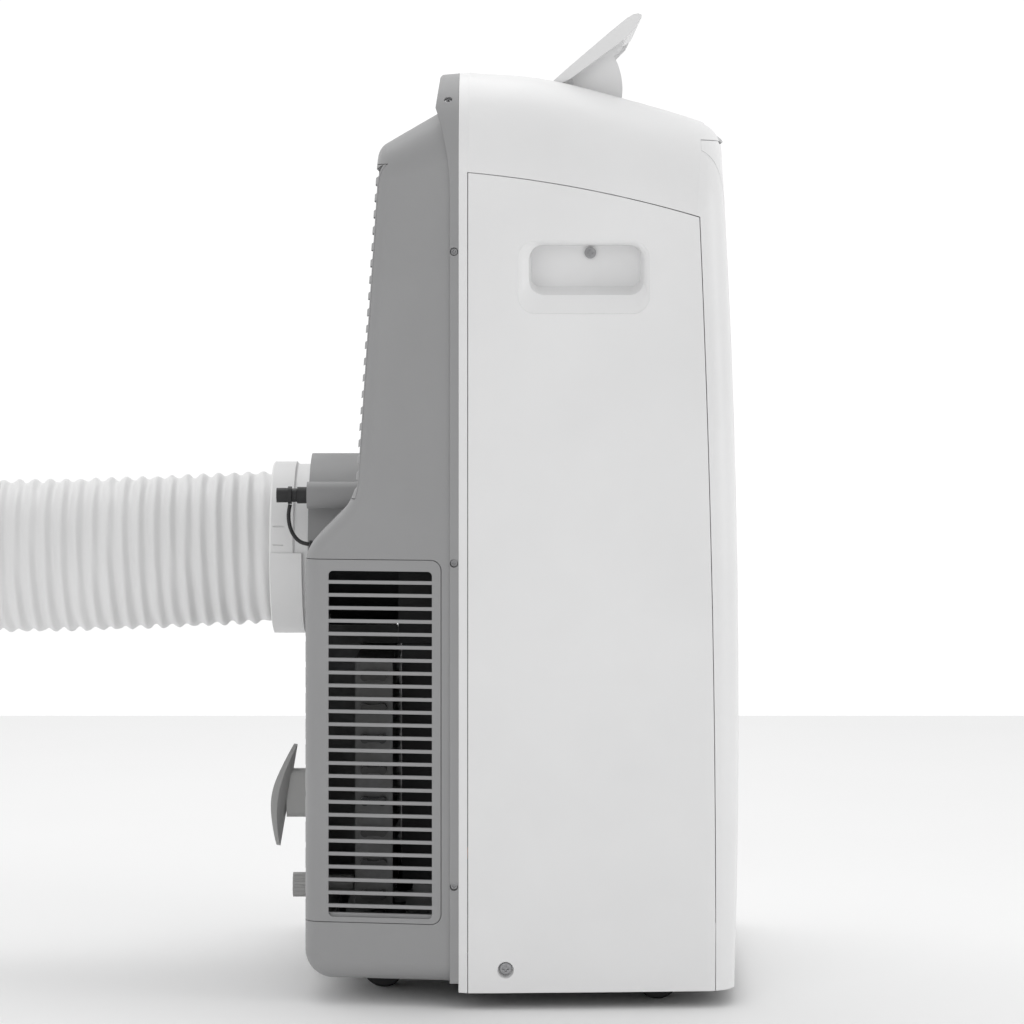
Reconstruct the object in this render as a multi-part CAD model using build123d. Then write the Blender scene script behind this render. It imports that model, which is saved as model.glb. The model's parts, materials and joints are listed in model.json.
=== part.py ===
from build123d import *
import math
import os

# A portable room air conditioner on castors: a white front body, a rear housing with its air intakes,
# an exhaust hose on the back and a motor-driven louvre flap on top.
# Axes: X across the width, front towards -Y, +Z up. The origin is on the floor under the middle of the body.

os.makedirs("parts", exist_ok=True)

# ---- driving dimensions, in millimetres ----
SEAM = 0.5                           # visible gap between outer panels
WALL = 2.7                           # thickness of the outer mouldings
LEDGE = 3.0                          # depth at which a let-in panel rests
LEDGE_BACK = 5.6                     # back of the ledge that a let-in panel rests on

# front body: cross-sections as (Y, half width, crown height, shoulder radius)
DECK = [
    (34.0, 223.0, 740.5, 84.0),
    (0.0, 222.0, 738.2, 84.0),
    (-30.0, 220.5, 734.5, 84.0),
    (-62.0, 219.0, 727.2, 84.0),
    (-95.0, 217.2, 718.4, 83.0),
    (-143.0, 214.2, 704.6, 82.0),
    (-195.0, 210.5, 689.5, 80.0),
]
RIM_Y = 42.0                         # rear edge of the front body
RIM_HALF = 220.0
RIM_CROWN = 739.8
RIM_RADIUS = 81.5
BODY_BOTTOM = 13.0
BOW_AXIS_Y = 2600.0                  # the front is bowed about a far upright axis
FRONT_PROFILE = [(-173.0, 668.0), (-186.0, 275.0), (-183.0, 18.0)]
FRONT_EDGE_R = 25.0

# rear housing
FLANGE_BACK_Y = 49.0
FLANGE_LEAN_Z = 640.0                # above here the flange's back leans away
FLANGE_LEAN_TOP = (60.5, 709.0)
FLANGE_CROWN_BACK = (57.5, 732.0)
FLANGE_CROWN_ROUND = (55.6, 738.0)
FLANGE_CROWN_START = (50.0, 740.6)
HOUSING_HALF = (218.0, 198.0)        # half width at the flange and at the back
HOUSING_CROWN = (712.0, 640.6)
HOUSING_RADIUS = (53.0, 14.0)
HOUSING_Y = (49.0, 170.0)
BACK_Y = 164.0
HOUSING_BOTTOM = 20.0
UPPER_BACK = [(104.6, 700.0), (124.6, 399.5)]
SLOPE_END = (BACK_Y, 360.0)
CORNER_R = 14.0

# exhaust
HOSE_Z = 350.0
BOSS_R = 78.0
BOSS_Y = 168.0
DUCT_R = 64.0
COLLAR_R = 71.0
CRADLE_R = 73.2                      # the adapter's lower half stands a little prouder
HOSE_R = 65.0
HOSE_ROOT_R = 60.5
HOSE_START_Y = 198.0
HOSE_RINGS = 20
HOSE_PITCH = 12.6
HOSE_WALL = 1.2
HOSE_END_Y = HOSE_START_Y + HOSE_RINGS * HOSE_PITCH
HOSE_DROP = 8.6                      # how far the hose sags between its two ends
NOZZLE_R = 62.5
NOZZLE_LENGTH = 45.0

# louvre flap
HINGE_Y = -35.5
HINGE_Z = 728.0
FLAP_HALF = 139.0
FLAP_LENGTH = 91.0
FLAP_OPEN = 40.5                     # degrees above level, as the flap stands open
FLAP_RISE = 6.2                      # height of its top over the hinge line
CHEEK_R = 54.0
CHEEK_X = 118.0
PIN_R = 2.0
PIN_CLEARANCE = 0.08
GEAR_MODULE = 1.4
RING_TEETH = 70
PINION_TEETH = 12
PINION_ANGLE = -36.0                 # degrees, seen from the hinge, where the pinion meshes

# castors
CASTORS = {
    "front_left": (-165.0, -125.0),
    "front_right": (165.0, -125.0),
    "rear_left": (-112.0, 95.0),
    "rear_right": (112.0, 95.0),
}
CASTOR_WHEEL_R = 17.0
CASTOR_TRAIL = 9.0
CASTOR_STEM_R = 4.5
PAN_Z = 42.0                         # underside of the base pan's floor

# control panel and its buttons
PANEL_HALF = 150.0
PANEL_TOP = (-154.5, 696.9)
PANEL_LOW = (-168.0, 686.3)
BUTTON_NAMES = ["power", "mode", "fan", "timer", "minus", "plus"]
BUTTON_PITCH = 26.0
BUTTON_R = 4.6
BUTTON_TRAVEL = 0.8

nodes = {}


# ---- helpers ----
def block(x0, x1, y0, y1, z0, z1):
    return Solid.make_box(x1 - x0, y1 - y0, z1 - z0, Plane(origin=(x0, y0, z0)))


def rod(start, direction, radius, length):
    return Solid.make_cylinder(radius, length, Plane(origin=start, z_dir=direction))


def pipe(start, direction, outer, inner, length):
    return rod(start, direction, outer, length) - rod(start, direction, inner, length)


def prism_x(points, x0, x1):
    outline = Wire.make_polygon([Vector(x0, y, z) for y, z in points], close=True)
    return Solid.extrude(Face(outline), Vector(x1 - x0, 0, 0))


def prism_y(points, y0, y1):
    outline = Wire.make_polygon([Vector(x, y0, z) for x, z in points], close=True)
    return Solid.extrude(Face(outline), Vector(0, y1 - y0, 0))


def rounded_wire(origin, x_dir, z_dir, width, height, radius):
    """A rounded rectangle about its centre, as a wire."""
    plane = Plane(origin=origin, x_dir=x_dir, z_dir=z_dir)
    return (plane * RectangleRounded(width, height, radius)).face().outer_wire()


def group(*shapes):
    """Separate solids that share one node."""
    solids = []
    for shape in shapes:
        solids.extend(shape.solids())
    return Compound(solids)


def mirrored(shape):
    return shape.mirror(Plane.YZ)


def add(name, shape):
    nodes[name] = shape


# ---- master shapes ----
def arch(y, half, crown, radius, bottom):
    """Upright walls, round shoulders and a level crown, in the plane at Y."""
    flat = half - radius
    k = radius * (1 - math.sqrt(0.5))
    left_foot = Vector(-half, y, bottom)
    left_spring = Vector(-half, y, crown - radius)
    left_mid = Vector(-half + k, y, crown - k)
    left_top = Vector(-flat, y, crown)
    right_top = Vector(flat, y, crown)
    right_mid = Vector(half - k, y, crown - k)
    right_spring = Vector(half, y, crown - radius)
    right_foot = Vector(half, y, bottom)
    return Wire([
        Edge.make_line(left_foot, left_spring),
        Edge.make_three_point_arc(left_spring, left_mid, left_top),
        Edge.make_line(left_top, right_top),
        Edge.make_three_point_arc(right_top, right_mid, right_spring),
        Edge.make_line(right_spring, right_foot),
        Edge.make_line(right_foot, left_foot),
    ])


def circle_through(points):
    (y1, z1), (y2, z2), (y3, z3) = points
    d = 2 * (y1 * (z2 - z3) + y2 * (z3 - z1) + y3 * (z1 - z2))
    s1 = y1 * y1 + z1 * z1
    s2 = y2 * y2 + z2 * z2
    s3 = y3 * y3 + z3 * z3
    cy = (s1 * (z2 - z3) + s2 * (z3 - z1) + s3 * (z1 - z2)) / d
    cz = (s1 * (y3 - y2) + s2 * (y1 - y3) + s3 * (y2 - y1)) / d
    return cy, cz, math.hypot(y1 - cy, z1 - cz)


def front_bow(t):
    """Everything in front of the bowed front face, moved in by t."""
    cy, cz, radius = circle_through([(y + t, z) for y, z in FRONT_PROFILE])

    def on_front(z):
        return Vector(0, cy - math.sqrt(radius * radius - (z - cz) ** 2), z)

    low, high, far = -30.0, 820.0, -330.0
    outline = Wire([
        Edge.make_three_point_arc(on_front(high), on_front((low + high) / 2), on_front(low)),
        Edge.make_line(on_front(low), Vector(0, far, low)),
        Edge.make_line(Vector(0, far, low), Vector(0, far, high)),
        Edge.make_line(Vector(0, far, high), on_front(high)),
    ])
    axis = Axis((0, BOW_AXIS_Y, 0), (0, 0, 1))
    sweep = 12.0
    return Solid.revolve(Face(outline).rotate(axis, -sweep / 2), sweep, axis)


def front_body(t, bottom=BODY_BOTTOM):
    """The front body with its outside moved in by t."""
    main = Solid.make_loft([arch(y, h - t, c - t, r - t, bottom) for y, h, c, r in DECK], False)
    main = main - front_bow(t)
    front = max((f for f in main.faces() if f.center().Y < -150), key=lambda f: f.area)
    main = main.fillet(FRONT_EDGE_R - t, [e for e in front.edges() if e.center().Z > 25])
    y, half, crown, radius = DECK[0]
    rim = Solid.make_loft([
        arch(y, half - t, crown - t, radius - t, bottom),
        arch(RIM_Y, RIM_HALF - t, RIM_CROWN - t, RIM_RADIUS - t, bottom),
    ], True)
    return main + rim


def rear_profile(t):
    """The rear housing seen from the side, as a prism across the width."""
    (y1, z1), (y2, z2) = UPPER_BACK
    y3, z3 = SLOPE_END
    prism = prism_x([
        (30.0, HOUSING_BOTTOM + t),
        (BACK_Y - t, HOUSING_BOTTOM + t),
        (y3 - t, z3 - 0.4 * t),
        (y2 - t, z2 - 0.4 * t),
        (y1 - t - 3.0, z1 + 45.0),
        (30.0, z1 + 45.0),
    ], -260.0, 260.0)
    for place, radius in (
        ((BACK_Y - t, HOUSING_BOTTOM + t), 22.0 - t),
        ((y3 - t, z3 - 0.4 * t), 34.0 - t),
        ((y2 - t, z2 - 0.4 * t), 40.0 + t),
    ):
        near = Vector(0, place[0], place[1])
        edge = min(prism.edges().filter_by(Axis.X), key=lambda e: (e.center() - near).length)
        prism = prism.fillet(radius, [edge])
    return prism


def rear_body(t, front_y=HOUSING_Y[0]):
    """The rear housing with its outside moved in by t, from the flange back."""
    def section(y):
        share = (y - HOUSING_Y[0]) / (HOUSING_Y[1] - HOUSING_Y[0])
        half = HOUSING_HALF[0] + share * (HOUSING_HALF[1] - HOUSING_HALF[0])
        crown = HOUSING_CROWN[0] + share * (HOUSING_CROWN[1] - HOUSING_CROWN[0])
        radius = HOUSING_RADIUS[0] + share * (HOUSING_RADIUS[1] - HOUSING_RADIUS[0])
        return arch(y, half - t, crown - t, radius - t, -20.0)

    body = Solid.make_loft([section(front_y), section(HOUSING_Y[1])], True) & rear_profile(t)
    rim = [
        e for e in body.edges()
        if e.center().Z > HOUSING_BOTTOM + t + 3
        and ((abs(e.center().X) > 185 and e.center().Y > 98) or
             (e.center().Z > 660 and e.center().Y > 96 and abs(e.center().X) < 10))
    ]
    return body.fillet(CORNER_R - t, rim)


# ---- regions that divide the front body ----
SIDE_REAR_Y = 34.5                   # rear edge of the side panels


def side_outline(grow):
    """The side panel's outline seen from the side, as a prism past the left side."""
    g = grow
    rear_top = Vector(0, SIDE_REAR_Y + g, 656.8 + g)
    mid_top = Vector(0, -61, 643.2 + g)
    front_top = Vector(0, -147.5 - g, 622 + g)
    mid_front = Vector(0, -156.5 - g, 360)
    front_foot = Vector(0, -160 - g, BODY_BOTTOM - 8)
    rear_foot = Vector(0, SIDE_REAR_Y + g, BODY_BOTTOM - 8)
    outline = Wire([
        Edge.make_three_point_arc(rear_top, mid_top, front_top),
        Edge.make_three_point_arc(front_top, mid_front, front_foot),
        Edge.make_line(front_foot, rear_foot),
        Edge.make_line(rear_foot, rear_top),
    ])
    return Solid.extrude(Face(outline).translate(Vector(-240, 0, 0)), Vector(80, 0, 0))


FRONT_PANEL_HALF = 192.0
FRONT_PANEL_TOP = 684.0
FRONT_PANEL_BOTTOM = 22.0


def front_panel_region(grow):
    half = FRONT_PANEL_HALF + grow
    return block(-half, half, -230, -150, FRONT_PANEL_BOTTOM - grow, FRONT_PANEL_TOP + grow)


# the opening in the deck that the flap closes
OUTLET_Y = (-127.5, -28.5)
OUTLET_HALF = FLAP_HALF + 1.5


# the handle recess, square to the side face: (depth, Y limits, Z limits, corner radius)
HANDLE = [
    (-1.0, (-109.5, -3.5), (545.0, 604.5), 14.5),
    (0.7, (-108.0, -5.0), (546.5, 603.0), 13.4),
    (2.0, (-106.2, -8.0), (550.5, 602.0), 12.8),
    (5.5, (-104.5, -13.5), (561.0, 600.8), 12.0),
    (26.0, (-103.0, -16.5), (567.5, 600.0), 8.0),
]
HANDLE_FACE = (-219.3, -56.5)        # X and Y where the recess is set into the side face
HANDLE_TURN = 2.95                   # degrees, how far the side face runs inwards there
HANDLE_SCREW = (-62.0, 594.5)
LOWER_SCREW = (5.0, 31.0)


def handle_cavity(wall):
    """The recess itself, or the recess grown by the cup's wall."""
    wires = []
    for depth, (y0, y1), (z0, z1), radius in HANDLE:
        x = HANDLE_FACE[0] + depth + (wall if depth > 10 else 0)
        centre = (x, (y0 + y1) / 2, (z0 + z1) / 2)
        width = y1 - y0 + 2 * wall
        height = z1 - z0 + 2 * wall
        wires.append(rounded_wire(centre, (0, 1, 0), (1, 0, 0), width, height, radius + wall))
    upright = Axis((HANDLE_FACE[0], HANDLE_FACE[1], 0), (0, 0, 1))
    return Solid.make_loft(wires, True).rotate(upright, HANDLE_TURN)


def side_panel(outer, inner):
    """The left side panel, with its handle recess and its lower screw recess."""
    panel = (outer - inner) & side_outline(0)
    screw_y, screw_z = LOWER_SCREW
    cup = pipe((-223.5, screw_y, screw_z), (1, 0, 0), 9.0, 3.0, 14.0)
    cup = cup - Solid.make_cone(6.6, 5.4, 10.5, Plane(origin=(-223.6, screw_y, screw_z), z_dir=(1, 0, 0)))
    cup = cup & outer
    panel = panel - rod((-240, screw_y, screw_z), (1, 0, 0), 8.0, 40)
    grip = handle_cavity(2.5) & outer
    panel = (panel - handle_cavity(1.0)) + grip + cup
    panel = panel - handle_cavity(0)
    screw_hole = rod((HANDLE_FACE[0] + 18, *HANDLE_SCREW), (1, 0, 0), 2.2, 20)
    return panel - screw_hole


def build_front():
    outer = front_body(0)
    inner = front_body(WALL, BODY_BOTTOM - 10)
    outer_cut = front_body(0, BODY_BOTTOM - 10)
    panel_back = front_body(2.4, BODY_BOTTOM - 10)
    ledge_face = front_body(LEDGE, BODY_BOTTOM - 10)
    ledge_back = front_body(LEDGE_BACK, BODY_BOTTOM - 10)

    left = side_panel(outer, inner)
    add("left_side_panel", left)
    add("right_side_panel", mirrored(left))

    sides = side_outline(SEAM)
    shell = (outer - inner) - sides - mirrored(sides)
    shell = shell - front_panel_region(SEAM)
    ledge_zone = front_panel_region(LEDGE)
    step = (outer - ledge_back) & (ledge_zone - front_panel_region(SEAM))
    window = block(-150, 150, -230, -120, 60, 640)
    seat = ((ledge_face - ledge_back) & ledge_zone) - window
    shell = shell + step + seat
    outlet = block(-OUTLET_HALF, OUTLET_HALF, OUTLET_Y[0], OUTLET_Y[1], 660, 800)
    shell = shell - outlet

    # the sloping bed of the control panel
    (y1, z1), (y2, z2) = PANEL_TOP, PANEL_LOW
    bed = [(y1, 760.0), (y1, z1 - 3.3), (y2 - 1.5, z2 - 4.4), (-240.0, z2 - 4.4), (-240.0, 760.0)]
    shell = shell - prism_x(bed, -PANEL_HALF - SEAM, PANEL_HALF + SEAM)
    well = [(y1 - 2.0, z1 + 2), (y1 - 2.0, z1 - 16), (y2 + 2.0, z2 - 16), (y2 + 2.0, z2 + 2)]
    shell = shell - prism_x(well, -PANEL_HALF + 8, PANEL_HALF - 8)
    add("front_shell", shell)

    front = (outer - panel_back) & front_panel_region(0)
    front = front - prism_x([(-300, 681.6), (-100, 681.6), (-100, 720), (-300, 720)], -160, 160)
    add("front_panel", front)


def slope_frame():
    """Unit vectors down the control panel and out of it."""
    (y1, z1), (y2, z2) = PANEL_TOP, PANEL_LOW
    length = math.hypot(y2 - y1, z2 - z1)
    down = ((y2 - y1) / length, (z2 - z1) / length)
    out = (down[1], -down[0])
    return down, out, length


def build_controls():
    down, out, length = slope_frame()
    (y1, z1), (y2, z2) = PANEL_TOP, PANEL_LOW
    plate = prism_x([
        (y1 - 0.3, z1),
        (y2, z2),
        (y2 - 1.4, z2 - 2.4),
        (y2 - 0.4, z2 - 3.2),
        (y1 - 0.3, z1 - 2.6),
    ], -PANEL_HALF, PANEL_HALF)
    centre = ((y1 + y2) / 2, (z1 + z2) / 2)
    first = -BUTTON_PITCH * (len(BUTTON_NAMES) - 1) / 2
    direction = (0, out[0], out[1])
    board = prism_x([
        (y1 + down[0] * a - out[0] * b, z1 + down[1] * a - out[1] * b)
        for a, b in ((1.0, 7.0), (length - 1.0, 7.0), (length - 1.0, 8.6), (1.0, 8.6))
    ], -PANEL_HALF + 12, PANEL_HALF - 12)
    switches = []
    for index, name in enumerate(BUTTON_NAMES):
        x = first + index * BUTTON_PITCH
        if x > 0:
            x += 22.0
        else:
            x -= 22.0
        base = (x, centre[0] - 6.0 * out[0], centre[1] - 6.0 * out[1])
        plate = plate - rod(base, direction, BUTTON_R + 0.25, 12)
        stem_start = (x, centre[0] - 4.6 * out[0], centre[1] - 4.6 * out[1])
        cap = rod(stem_start, direction, BUTTON_R, 5.4)
        cap = cap.chamfer(0.4, None, [cap.edges().filter_by(GeomType.CIRCLE).sort_by(Axis.Z)[-1]])
        add("button_" + name, cap)
        switch_start = (x, centre[0] - 7.0 * out[0], centre[1] - 7.0 * out[1])
        switches.append(rod(switch_start, direction, 2.6, 1.4))
    window = block(-17, 17, -230, -100, 600, 800) & prism_x([
        (y1 + down[0] * a - out[0] * b, z1 + down[1] * a - out[1] * b)
        for a, b in ((3.5, -2.0), (length - 3.5, -2.0), (length - 3.5, 0.6), (3.5, 0.6))
    ], -17, 17)
    plate = plate - window
    add("control_panel", plate)
    lens = prism_x([
        (y1 + down[0] * a - out[0] * b, z1 + down[1] * a - out[1] * b)
        for a, b in ((3.7, 0.0), (length - 3.7, 0.0), (length - 3.7, 0.6), (3.7, 0.6))
    ], -16.8, 16.8)
    add("display_lens", lens)
    add("display_board", group(board, *switches))


# ---- gears of the louvre drive ----
def involute_gear_points(teeth, addendum, dedendum, thinning):
    """Outline of an external involute gear about the origin, with its first tooth along the first axis."""
    pressure = math.radians(20)
    pitch_r = GEAR_MODULE * teeth / 2
    base_r = pitch_r * math.cos(pressure)
    tip_r = pitch_r + addendum
    root_r = pitch_r - dedendum
    half_tooth = math.pi / (2 * teeth) - thinning / (2 * pitch_r)
    flank_start = max(base_r, root_r + 0.05)

    def half_angle(radius):
        involute = math.tan(math.acos(base_r / radius)) - math.acos(base_r / radius)
        return half_tooth + math.tan(pressure) - pressure - involute

    steps = 5
    radii = [flank_start + (tip_r - flank_start) * i / (steps - 1) for i in range(steps)]
    points = []
    for tooth in range(teeth):
        middle = 2 * math.pi * tooth / teeth
        left = [(root_r, -half_angle(flank_start))] + [(r, -half_angle(r)) for r in radii]
        right = [(r, half_angle(r)) for r in reversed(radii)] + [(root_r, half_angle(flank_start))]
        for radius, angle in left + right:
            points.append((radius * math.cos(middle + angle), radius * math.sin(middle + angle)))
    return points


def gear_prism(points, turn, centre, x0, x1):
    """A gear outline standing on its axis along X, turned by an angle seen from +X."""
    turned = []
    for a, b in points:
        y = a * math.cos(turn) - b * math.sin(turn)
        z = a * math.sin(turn) + b * math.cos(turn)
        turned.append((centre[0] + y, centre[1] + z))
    return prism_x(turned, x0, x1)


RING_R = GEAR_MODULE * RING_TEETH / 2
PINION_R = GEAR_MODULE * PINION_TEETH / 2
PINION_DIRECTION = math.radians(180 - PINION_ANGLE)
PINION_Y = HINGE_Y + (RING_R - PINION_R) * math.cos(PINION_DIRECTION)
PINION_Z = HINGE_Z + (RING_R - PINION_R) * math.sin(PINION_DIRECTION)


def flap_point(distance, height):
    """A point of the open flap: how far from the hinge along it, and how far above its middle."""
    turn = math.radians(180 - FLAP_OPEN)
    y = HINGE_Y + math.cos(turn) * distance + math.sin(turn) * height
    z = HINGE_Z + math.sin(turn) * distance - math.cos(turn) * height
    return y, z


def cheek(toothed):
    """The left sector under the flap: a web and, on its inner side, a rim with or without teeth."""
    outer_x, web_x, inner_x = -CHEEK_X - 8.5, -CHEEK_X - 6.0, -CHEEK_X
    start, end = 180 - FLAP_OPEN, 180 + 54
    reach = 90.0
    wedge = [(HINGE_Y, HINGE_Z)]
    for step in range(7):
        angle = math.radians(start + (end - start) * step / 6)
        wedge.append((HINGE_Y + reach * math.cos(angle), HINGE_Z + reach * math.sin(angle)))
    sector = prism_x(wedge, outer_x, inner_x)
    web = pipe((outer_x, HINGE_Y, HINGE_Z), (1, 0, 0), CHEEK_R, 15.0, web_x - outer_x)
    rim_start = (web_x, HINGE_Y, HINGE_Z)
    rim = rod(rim_start, (1, 0, 0), CHEEK_R, inner_x - web_x)
    if toothed:
        space = involute_gear_points(RING_TEETH, 1.5, 0.9, 0)
        rim = rim - gear_prism(space, PINION_DIRECTION, (HINGE_Y, HINGE_Z), web_x, inner_x)
    else:
        rim = rim - rod(rim_start, (1, 0, 0), RING_R + 0.6, inner_x - web_x)
    return (web + rim) & sector


def flap_side(x0, x1):
    """A deep edge down one side of the flap, thicker towards its nose."""
    outline = [(6.0, 0.0), (14.0, -1.9), (67.0, -5.9), (80.0, -4.8), (88.0, -1.4), (88.0, 0.0)]
    return prism_x([flap_point(*point) for point in outline], x0, x1)


def flap_lug(x0, x1):
    """A small stop under the flap."""
    disc = rod((x0, *flap_point(57.5, 2.0)), (1, 0, 0), 13.0, x1 - x0)
    corners = [(49.5, -0.5), (71.0, -0.5), (71.0, -20.0), (49.5, -20.0)]
    return disc & prism_x([flap_point(*corner) for corner in corners], x0, x1)


def build_louvre():
    top = FLAP_RISE
    outline = [
        (-5.0, top - 2.6), (-2.0, top - 0.4), (20.0, top), (62.0, top), (80.0, top - 0.4),
        (86.0, top - 1.4), (89.6, top - 3.4), (FLAP_LENGTH, top - 6.0), (89.0, -1.8),
        (76.0, -1.2), (0.0, 0.2), (-4.0, 1.2),
    ]
    flap = prism_x([flap_point(*point) for point in outline], -FLAP_HALF, FLAP_HALF)
    flap = flap + cheek(True) + mirrored(cheek(False))
    side = flap_side(-FLAP_HALF, -FLAP_HALF + 2.6)
    lug = flap_lug(-CHEEK_X - 8.5, -CHEEK_X - 6.0)
    barrel = rod((-FLAP_HALF, HINGE_Y, HINGE_Z), (1, 0, 0), 3.6, 10)
    bore = rod((-FLAP_HALF - 1, HINGE_Y, HINGE_Z), (1, 0, 0), PIN_R + PIN_CLEARANCE, 12)
    for piece in (side, lug, barrel):
        flap = flap + piece + mirrored(piece)
    add("louvre_flap", flap - bore - mirrored(bore))

    # the pinion has a tooth space where the ring's first tooth stands
    pinion_points = involute_gear_points(PINION_TEETH, 1.15, 1.45, 0.30)
    centre = (PINION_Y, PINION_Z)
    pinion = gear_prism(pinion_points, PINION_DIRECTION, centre, -CHEEK_X - 5.4, -CHEEK_X - 0.6)
    shaft = rod((-CHEEK_X - 0.6, PINION_Y, PINION_Z), (1, 0, 0), 3.0, 6.6)
    add("louvre_pinion", pinion + shaft)

    # the stepper motor stands on the inner side of the cheek, its shaft bore running on the pinion's shaft
    motor_x = -CHEEK_X + 3.0
    motor = rod((motor_x, PINION_Y, PINION_Z - 2.0), (1, 0, 0), 12.0, 15.0)
    motor = motor - rod((motor_x, PINION_Y, PINION_Z), (1, 0, 0), 3.0 + 0.06, 5.0)
    bracket = block(motor_x, motor_x + 1.5, PINION_Y - 18, PINION_Y + 14, PINION_Z - 30, PINION_Z - 6)
    bracket = bracket - rod((motor_x, PINION_Y, PINION_Z), (1, 0, 0), 3.0 + 0.06, 5.0)
    add("louvre_motor", motor + bracket)


def deck_height(y):
    """Crown height of the front body at Y, between its cross-sections."""
    for (y1, _, z1, _), (y2, _, z2, _) in zip(DECK, DECK[1:]):
        if y1 >= y >= y2:
            return z1 + (z2 - z1) * (y - y1) / (y2 - y1)
    return DECK[0][2]


FRAME_TOP_DROP = 3.6                 # the outlet frame stops under the deck
VANE_PITCH = 36.0


def build_outlet():
    """The air outlet frame under the flap, with its upright vanes."""
    front_y, rear_y = OUTLET_Y[0] + 0.5, -15.0
    foot = 640.0
    out = OUTLET_HALF + 4.0
    inn = OUTLET_HALF + 1.6
    front_top = deck_height(front_y - 4) - FRAME_TOP_DROP
    rear_top = deck_height(rear_y + 4) - FRAME_TOP_DROP - 0.6
    outer = prism_x([
        (front_y - 4, foot), (front_y - 4, front_top), (-95, deck_height(-95) - FRAME_TOP_DROP),
        (-62, deck_height(-62) - FRAME_TOP_DROP), (-33, deck_height(-33) - FRAME_TOP_DROP - 0.2),
        (rear_y + 3, rear_top), (rear_y + 3, foot),
    ], -out, out)
    hollow = prism_x([
        (front_y - 1.6, foot - 1), (front_y - 1.6, 800), (rear_y, 800), (rear_y, foot - 1),
    ], -inn, inn)
    frame = outer - hollow
    vanes = []
    for index in range(-2, 3):
        x = index * VANE_PITCH
        vanes.append(prism_x([
            (front_y - 2, 645.0), (front_y - 2, 686.0), (-100.0, 692.0), (-58.0, 700.0),
            (rear_y + 1, 690.0), (rear_y + 1, 645.0),
        ], x - 1.0, x + 1.0))
    for vane in vanes:
        frame = frame + vane
    for side in (-1, 1):
        pivot_x = side * (OUTLET_HALF + 2.0)
        frame = frame + rod((pivot_x, HINGE_Y, HINGE_Z), (-side, 0, 0), PIN_R, 12.0)
    shelf = block(-CHEEK_X + 3.0, -CHEEK_X + 24.0, PINION_Y - 18, PINION_Y + 14,
                  PINION_Z - 34, PINION_Z - 30)
    strut = block(-OUTLET_HALF - 2.0, -CHEEK_X + 24.0, front_y - 3, front_y + 6,
                  PINION_Z - 34, PINION_Z - 30)
    shelf_arm = block(-CHEEK_X + 3.0, -CHEEK_X + 24.0, front_y - 3, PINION_Y - 17,
                      PINION_Z - 34, PINION_Z - 30)
    frame = frame + shelf + strut + shelf_arm
    add("outlet_frame", frame)


# ---- rear housing and its let-in grilles ----
GRILLE_Z = (66.0, 352.0)
GRILLE_Y = 56.0
GRILLE_INNER_X = 104.0
GRILLE_CORNER_R = 8.0
SLAT_PITCH = 10.22
SLAT_COUNT = 26
SLAT_HEIGHT = 2.8
OPENING_Y = (63.0, 145.0)
OPENING_Z0 = 70.0
OPENING_CORNER_R = 3.6

FILTER_HALF = (201.5, 204.5)          # half width at its foot and at its top
FILTER_Z = (400.0, 664.0)
FILTER_NOTCH_R = BOSS_R + 5.0
FILTER_ROWS = 20
FILTER_PITCH = 12.5
FILTER_SLOT = 7.0
FILTER_SLOPE = 0.55                   # fall of the slots for each step outwards
FILTER_RIB = 3.0
FILTER_COLUMNS = 6
FILTER_END = 1.3                      # left at the ends of the slots


def grille_region(grow):
    """The left corner grille's place in the rear housing."""
    low, high = GRILLE_Z[0] - grow, GRILLE_Z[1] + grow
    region = block(-230, -GRILLE_INNER_X + grow, GRILLE_Y - grow, 200, low, high)
    front = [e for e in region.edges().filter_by(Axis.X) if e.center().Y < GRILLE_Y + 10]
    return region.fillet(GRILLE_CORNER_R + grow, front)


def filter_region(grow):
    """The upper filter panel's place: an upright rectangle notched round the exhaust boss."""
    foot, top = (half + grow for half in FILTER_HALF)
    low, high = FILTER_Z[0] - grow, FILTER_Z[1] + grow
    region = prism_y([(-foot, low), (foot, low), (top, high), (-top, high)], 90, 200)
    region = region - rod((STUB_X, 80, STUB_Z), (0, 1, 0), STUB_BOSS_R + 3.0 - grow, 130)
    return region - rod((0, 80, HOSE_Z), (0, 1, 0), FILTER_NOTCH_R - grow, 130)


def flange(thick_back):
    """The rear housing's mounting flange, whose back leans away near the crown."""
    outer = Solid.make_loft([
        arch(RIM_Y + 0.1, RIM_HALF, RIM_CROWN, RIM_RADIUS, HOUSING_BOTTOM),
        arch(70.0, RIM_HALF - 1, RIM_CROWN - 2.5, RIM_RADIUS, HOUSING_BOTTOM),
    ], True)
    hollow = arch(RIM_Y - 5, HOUSING_HALF[0] - 4.5, HOUSING_CROWN[0] - 8, HOUSING_RADIUS[0], -10)
    hollow = Solid.extrude(Face(hollow), Vector(0, 60, 0))
    foot = Vector(0, thick_back, 0)
    knee = Vector(0, thick_back, FLANGE_LEAN_Z)
    lean_top = Vector(0, *FLANGE_LEAN_TOP)
    crown_back = Vector(0, *FLANGE_CROWN_BACK)
    crown_start = Vector(0, *FLANGE_CROWN_START)
    front_top = Vector(0, 0, FLANGE_CROWN_START[1] + 4)
    lean = Wire([
        Edge.make_line(Vector(0, 0, 0), foot),
        Edge.make_line(foot, knee),
        Edge.make_tangent_arc(knee, Vector(0, 0, 1), lean_top),
        Edge.make_line(lean_top, crown_back),
        Edge.make_three_point_arc(crown_back, Vector(0, *FLANGE_CROWN_ROUND), crown_start),
        Edge.make_line(crown_start, front_top),
        Edge.make_line(front_top, Vector(0, 0, 0)),
    ])
    side = Solid.extrude(Face(lean).translate(Vector(-260, 0, 0)), Vector(520, 0, 0))
    return (outer & side) - hollow


FLANGE_SCREW_Z = [595.0, 350.0, 96.0]
ARCH_SCREW = (-196.0, 716.5)


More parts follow.
